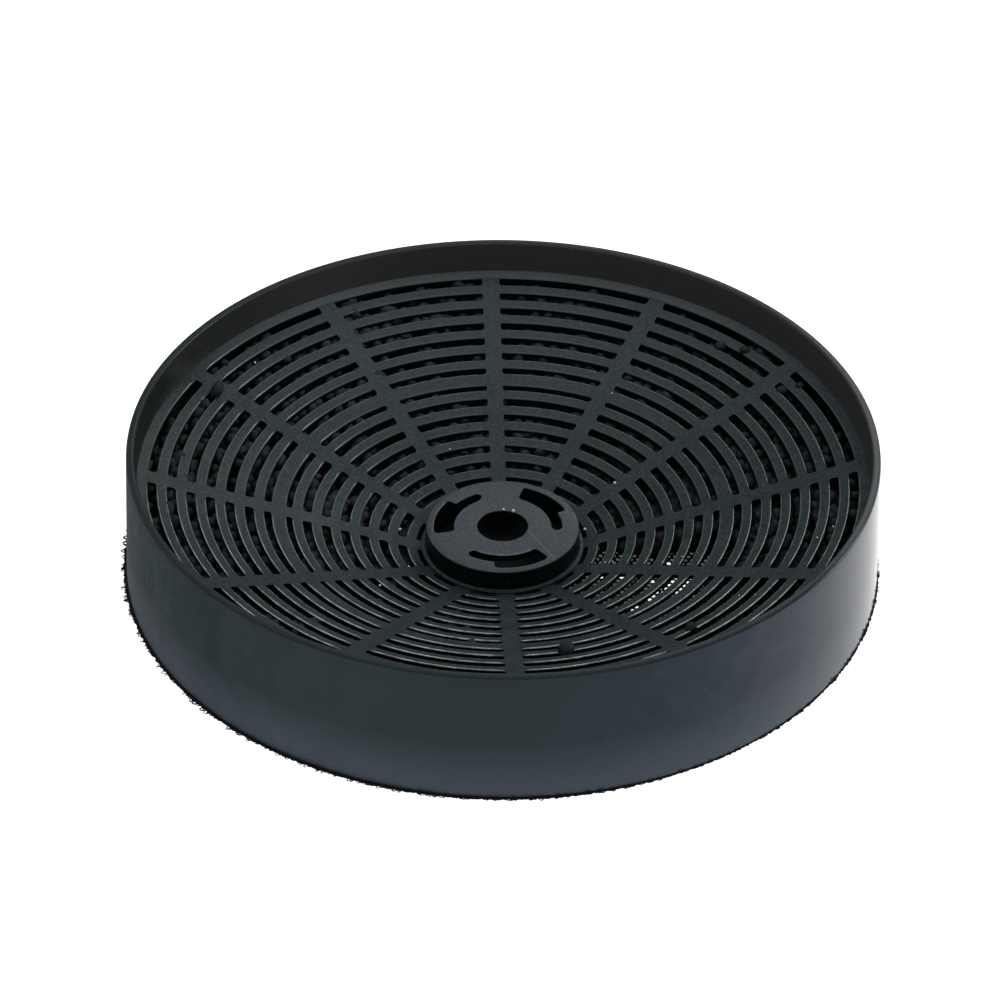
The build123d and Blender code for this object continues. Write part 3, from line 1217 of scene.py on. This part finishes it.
def film_material():
    """A grey film in the net's meshes, painted shade that stands in for the shaded table seen through
    them, and lets a little light through.
    """
    material, tree, shader = new_material("painted shade film", PAINTED_SHADE_FILM[0], 0.8)
    clouds = texture(tree, object_place(tree), "ShaderNodeTexNoise", Scale=700.0, Detail=3.0)
    base = ramp(tree, clouds.outputs["Fac"], [(0.35, PAINTED_SHADE_FILM[0]), (0.65, PAINTED_SHADE_FILM[1])])
    tree.links.new(base, shader.inputs["Base Color"])
    shader.inputs["Alpha"].default_value = 0.93
    return material


def table_material():
    """A white light table: pale, matt and lit from within."""
    material, _tree, shader = new_material("white table", grey(0.35), 0.9)
    shader.inputs["Specular IOR Level"].default_value = 0.1
    shader.inputs["Emission Color"].default_value = (1, 1, 1, 1)
    shader.inputs["Emission Strength"].default_value = TABLE_GLOW
    return material


# The object

rng = random.Random(GRANULE_SEED)
plastic = plastic_material()
carbon = carbon_material()
thread = thread_material("black thread", *THREAD)
net_filling = thread_material("caked dust and painted shade", *CAKED_DUST_AND_PAINTED_SHADE)

casing = make_casing(plastic, arris_highlight_material())
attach(casing, "root")
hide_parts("casing")

granules = [
    make_top_layer("carbon_top_left", rng, carbon, True),
    make_top_layer("carbon_top_right", rng, carbon, False),
    granule_layer("carbon_second", rng, carbon, second_height, SECOND_SPACING, GRANULE * 1.1,
                  SECOND_INNER, DISH_RADIUS - BED_MARGIN),
    granule_layer("carbon_bottom", rng, carbon, bottom_height, BOTTOM_SPACING, GRANULE,
                  BOTTOM_INNER, FOOT_RADIUS - WALL - BED_MARGIN),
    make_bank(rng, carbon),
    make_core(carbon),
    make_crumbs(rng, carbon),
    make_strays(rng, carbon),
    make_painted_glints(rng, glint_material()),
]
for piece in granules:
    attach(piece, "root")
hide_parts("carbon_bed")

net = make_net(thread, net_filling, film_material())
edge = make_edge(rng, thread)
fringe = make_fringe(rng, thread)
for piece in (net, edge, fringe):
    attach(piece, "root")
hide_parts("base_net")


# Table, light and camera

square = ((-1, -1), (1, -1), (1, 1), (-1, 1))
corners = [Vector((x, y, 0)) * TABLE_REACH for x, y in square]
table = new_object("table", corners, [(0, 1, 2, 3)], table_material())


def make_studio():
    """Soft light all round, brighter near the horizon than overhead."""
    world = bpy.data.worlds.new("studio")
    world.use_nodes = True
    tree = world.node_tree
    direction = tree.nodes.new("ShaderNodeTexCoord").outputs["Generated"]
    sky = ramp(tree, axes_of(tree, direction)["Z"], [(place, grey(value)) for place, value in SKY_STOPS])
    tree.links.new(sky, tree.nodes["Background"].inputs["Color"])
    bpy.context.scene.world = world


def area_light(name, place, size, power):
    light = bpy.data.lights.new(name, "AREA")
    light.shape = "RECTANGLE"
    light.size, light.size_y = size
    light.energy = power
    obj = bpy.data.objects.new(name, light)
    obj.location = place
    obj.rotation_euler = (Vector(LIGHT_TARGET) - Vector(place)).to_track_quat("-Z", "Y").to_euler()
    bpy.context.scene.collection.objects.link(obj)


make_studio()
area_light("back light", (0.214, 1.21, 0.86), (0.5, 0.12), 1.1)
area_light("right light", (1.25, 0.45, 0.50), (0.5, 0.5), 6)
bpy.context.scene.view_settings.view_transform = "Standard"


def make_camera():
    data = bpy.data.cameras.new("camera")
    data.sensor_width = SENSOR
    data.lens = SENSOR * CAMERA_FOCAL
    data.clip_start = 0.05
    data.clip_end = 50
    camera = bpy.data.objects.new("camera", data)
    elevation = math.radians(CAMERA_ELEVATION)
    ahead = Vector((0, math.cos(elevation), -math.sin(elevation)))
    camera.location = CAMERA_TARGET - ahead * CAMERA_DISTANCE
    camera.rotation_mode = "QUATERNION"
    roll = Matrix.Rotation(math.radians(CAMERA_ROLL), 3, ahead)
    camera.rotation_quaternion = roll.to_quaternion() @ ahead.to_track_quat("-Z", "Y")
    bpy.context.scene.collection.objects.link(camera)
    bpy.context.scene.camera = camera


make_camera()
bpy.context.view_layer.update()
